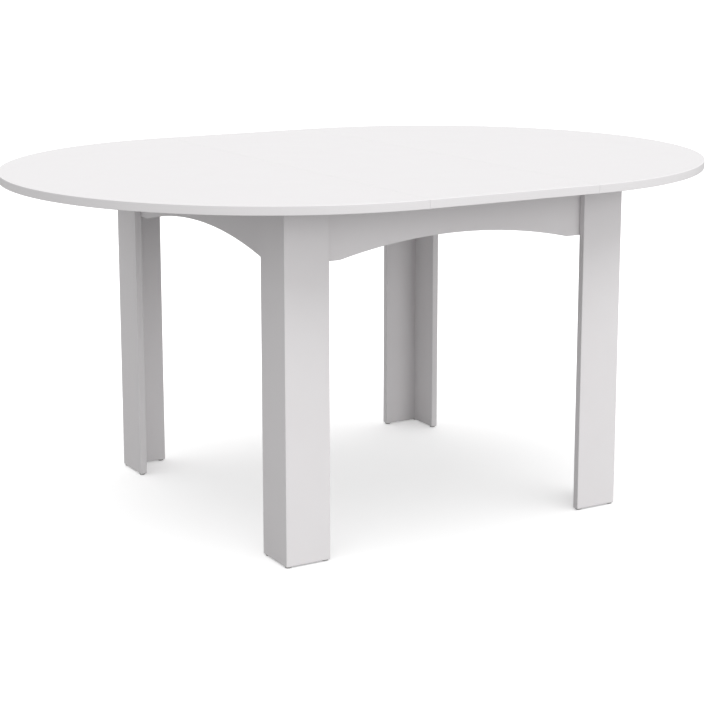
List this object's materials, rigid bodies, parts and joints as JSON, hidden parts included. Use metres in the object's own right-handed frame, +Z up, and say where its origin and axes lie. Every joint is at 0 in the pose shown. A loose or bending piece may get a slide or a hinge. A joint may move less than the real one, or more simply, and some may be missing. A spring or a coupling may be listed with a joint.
{
  "type": "extending round table",
  "caption": "Round dining table drawn apart to an oval, with a loose leaf between two sliding half tops on a square base with arched aprons and L-section legs.",
  "frame": {"origin": "on the floor under the middle of the table", "axes": "+X the way the table extends, to the right; +Y from the front to the back; +Z up"},
  "size_m": [1.6, 1.2, 0.75],
  "materials": {
    "white_tabletop_board": "satin white melamine on particle board",
    "white_edge_band": "satin white ABS edge band",
    "white_base_board": "satin white lacquer on fibreboard",
    "rail_aluminium": "satin anodised",
    "bracket_steel": "bright zinc plate",
    "fastener_steel": "bright zinc plate",
    "white_nylon": "moulded nylon",
    "grey_nylon": "moulded nylon",
    "beech": "planed beech"
  },
  "bodies": {
    "base": {"apron_dowels": "beech", "apron_glide_pads": "white_nylon", "back_apron": "white_base_board", "back_guide_rail": "rail_aluminium", "back_left_corner_brace": "bracket_steel", "back_left_leg_back_board": "white_base_board", "back_left_leg_side_board": "white_base_board", "back_left_rail_end_bracket": "bracket_steel", "back_right_corner_brace": "bracket_steel", "back_right_leg_back_board": "white_base_board", "back_right_leg_side_board": "white_base_board", "back_right_rail_end_bracket": "bracket_steel", "corner_brace_screws": "fastener_steel", "end_bracket_rail_screws": "fastener_steel", "end_bracket_wood_screws": "fastener_steel", "floor_glides": "grey_nylon", "front_apron": "white_base_board", "front_guide_rail": "rail_aluminium", "front_left_corner_brace": "bracket_steel", "front_left_leg_front_board": "white_base_board", "front_left_leg_side_board": "white_base_board", "front_left_rail_end_bracket": "bracket_steel", "front_right_corner_brace": "bracket_steel", "front_right_leg_front_board": "white_base_board", "front_right_leg_side_board": "white_base_board", "front_right_rail_end_bracket": "bracket_steel", "left_apron": "white_base_board", "leg_biscuits": "beech", "leg_bolt_washers": "fastener_steel", "leg_bolts": "fastener_steel", "leg_threaded_inserts": "fastener_steel", "rail_glide_pads": "white_nylon", "right_apron": "white_base_board"},
    "left_half": {"left_back_slide_bar": "rail_aluminium", "left_bracket_bar_screws": "fastener_steel", "left_bracket_top_screws": "fastener_steel", "left_front_slide_bar": "rail_aluminium", "left_slide_bar_shoes": "white_nylon", "left_slide_brackets": "bracket_steel", "left_top_panel": "white_tabletop_board", "left_top_rim_band": "white_edge_band", "left_top_seam_band": "white_edge_band"},
    "right_half": {"right_back_slide_bar": "rail_aluminium", "right_bracket_bar_screws": "fastener_steel", "right_bracket_top_screws": "fastener_steel", "right_front_slide_bar": "rail_aluminium", "right_slide_bar_shoes": "white_nylon", "right_slide_brackets": "bracket_steel", "right_top_panel": "white_tabletop_board", "right_top_rim_band": "white_edge_band", "right_top_seam_band": "white_edge_band"},
    "leaf": {"leaf_back_cleat": "beech", "leaf_cleat_screws": "fastener_steel", "leaf_front_cleat": "beech", "leaf_panel": "white_tabletop_board", "leaf_rim_bands": "white_edge_band", "leaf_seam_bands": "white_edge_band"}
  },
  "joints": [
    {"name": "left_half_slide", "type": "slide", "parent": "base", "child": "left_half", "axis": [-1, 0, 0], "range_m": [0, 0.03]},
    {"name": "right_half_slide", "type": "slide", "parent": "base", "child": "right_half", "axis": [1, 0, 0], "range_m": [0, 0.03]},
    {"name": "leaf_lift", "type": "slide", "parent": "base", "child": "leaf", "axis": [0, 0, 1], "range_m": [0, 0.25]}
  ]
}
